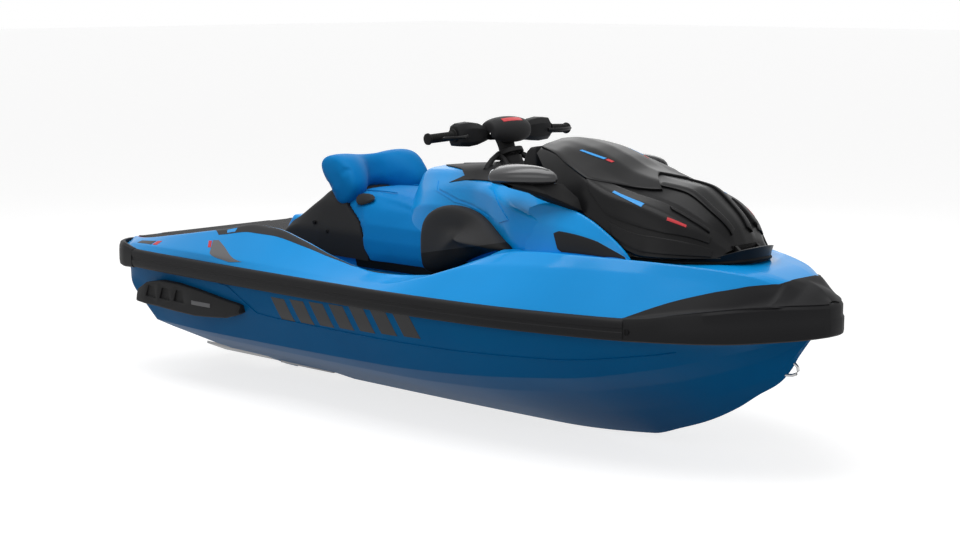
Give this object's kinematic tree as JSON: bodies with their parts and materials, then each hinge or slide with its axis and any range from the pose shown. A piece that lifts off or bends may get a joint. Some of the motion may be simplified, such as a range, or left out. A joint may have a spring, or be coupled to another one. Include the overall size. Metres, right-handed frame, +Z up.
{
  "type": "personal watercraft",
  "caption": "Single-rider personal watercraft with a water-jet drive, a deep-V hull, stepped saddle seat, turning handlebar, opening front hood and lowering reverse bucket.",
  "frame": {"origin": "on the centreline at the waterline, half way along the craft", "axes": "+X to the bow, +Y to port, +Z up"},
  "size_m": [3.3179, 1.255, 1.1431],
  "materials": {
    "hull_gelcoat": "gloss gelcoat over fibreglass",
    "deck_gelcoat": "gloss painted moulding",
    "black_moulding": "grained injection moulding",
    "gloss_black": "high-gloss moulding",
    "bumper_rubber": "satin extruded rubber",
    "seat_vinyl": "grained marine vinyl over foam",
    "pad_vinyl": "grained marine vinyl over foam",
    "deck_mat": "ribbed closed-cell traction mat",
    "grip_rubber": "moulded rubber",
    "mirror_glass": "silvered",
    "display_glass": "clear cover over a dark display",
    "anodised": "bead-blasted and anodised",
    "cast_alloy": "as cast",
    "stainless": "turned",
    "black_tube": "powder-coated tube"
  },
  "bodies": {
    "craft": {"hull": "hull_gelcoat", "deck": "deck_gelcoat", "rub_rail_port": "bumper_rubber", "rub_rail_starboard": "bumper_rubber", "bow_bumper": "bumper_rubber", "stern_bumper_port": "bumper_rubber", "stern_bumper_starboard": "bumper_rubber", "tank_cover": "deck_gelcoat", "knee_pad_port": "pad_vinyl", "knee_pad_starboard": "pad_vinyl", "seat_pedestal": "black_moulding", "seat_saddle": "seat_vinyl", "seat_bolster": "seat_vinyl", "rear_deck_mat": "deck_mat", "footwell_mat_port": "deck_mat", "footwell_mat_starboard": "deck_mat", "hood_tray": "black_moulding", "storage_bin": "black_moulding", "side_vent_port": "black_moulding", "side_vent_starboard": "black_moulding", "mirror_port": "gloss_black", "mirror_starboard": "gloss_black", "mirror_glass_port": "mirror_glass", "mirror_glass_starboard": "mirror_glass", "gauge_shroud": "black_moulding", "gauge_display": "display_glass", "steering_base": "black_moulding", "sponson_port": "black_moulding", "sponson_starboard": "black_moulding", "ride_plate": "black_moulding", "intake_grate": "anodised", "pump_housing": "cast_alloy", "engine_block": "cast_alloy", "bow_eye": "stainless", "stern_eye_port": "stainless", "stern_eye_starboard": "stainless"},
    "hood_lid": {"hood_crown_port": "gloss_black", "hood_crown_starboard": "gloss_black", "hood_cheek_port": "gloss_black", "hood_cheek_starboard": "gloss_black", "hood_hinge": "black_tube"},
    "handlebars": {"steering_riser": "black_moulding", "handlebar": "black_tube", "grip_port": "grip_rubber", "grip_starboard": "grip_rubber", "control_pod_port": "black_moulding", "control_pod_starboard": "black_moulding", "throttle_lever": "black_moulding", "brake_lever": "black_moulding", "steering_pad": "black_moulding"},
    "rotor": {"impeller": "stainless", "drive_shaft": "stainless"},
    "jet_nozzle": {"steering_nozzle": "cast_alloy"},
    "bucket": {"reverse_bucket": "black_moulding"}
  },
  "joints": [
    {"name": "hood_hinge", "type": "hinge", "parent": "craft", "child": "hood_lid", "pos_m": [1.3, 0, 0.4726], "axis": [0, 1, 0], "range_deg": [0, 55]},
    {"name": "steering", "type": "hinge", "parent": "craft", "child": "handlebars", "pos_m": [0.196, 0, 0.7], "axis": [-0.4067, 0, 0.9135], "range_deg": [-24, 24]},
    {"name": "nozzle_turn", "type": "hinge", "parent": "craft", "child": "jet_nozzle", "pos_m": [-1.4956, 0, -0.112], "axis": [0, 0, 1], "range_deg": [-20, 20]},
    {"name": "bucket_lower", "type": "hinge", "parent": "craft", "child": "bucket", "pos_m": [-1.4956, 0, -0.112], "axis": [0, -1, 0], "range_deg": [0, 74]},
    {"name": "impeller_spin", "type": "hinge", "parent": "craft", "child": "rotor", "pos_m": [-1.25, 0, -0.112], "axis": [1, 0, 0], "continuous": true}
  ],
  "couplings": [
    {"joint": "nozzle_turn", "follows": "steering", "ratio": -0.8}
  ]
}
